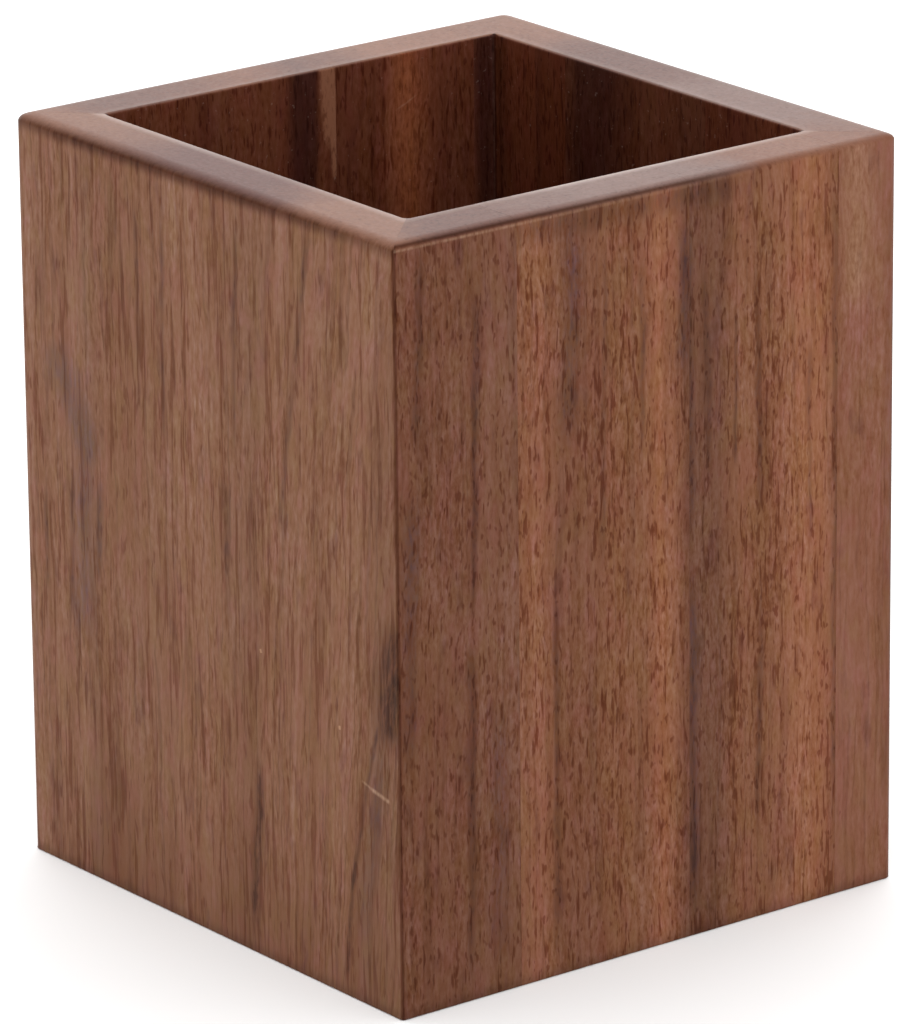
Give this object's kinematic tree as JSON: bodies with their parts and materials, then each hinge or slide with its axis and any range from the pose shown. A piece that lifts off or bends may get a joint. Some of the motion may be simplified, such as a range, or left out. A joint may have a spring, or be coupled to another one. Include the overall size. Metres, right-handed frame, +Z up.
{
  "type": "pen cup",
  "caption": "Square open-topped walnut pen cup with mitred, stave-built walls, softly rounded edges and a base panel held in a groove.",
  "frame": {"origin": "middle of the foot, on the surface that the cup stands on", "axes": "+Z up towards the open rim, -Y outward from the front wall, -X outward from the left wall"},
  "size_m": [0.08, 0.08, 0.1],
  "materials": {
    "tan_walnut": "satin oil",
    "red_walnut": "satin oil",
    "dark_walnut": "satin oil",
    "pink_walnut": "satin oil"
  },
  "bodies": {
    "root": {"left_board": "tan_walnut", "front_stave_1": "dark_walnut", "front_stave_2": "red_walnut", "front_stave_3": "dark_walnut", "front_stave_4": "pink_walnut", "right_stave_1": "red_walnut", "right_stave_2": "dark_walnut", "right_stave_3": "red_walnut", "back_stave_1": "dark_walnut", "back_stave_2": "red_walnut", "back_stave_3": "red_walnut", "base_panel": "red_walnut"}
  },
  "joints": []
}
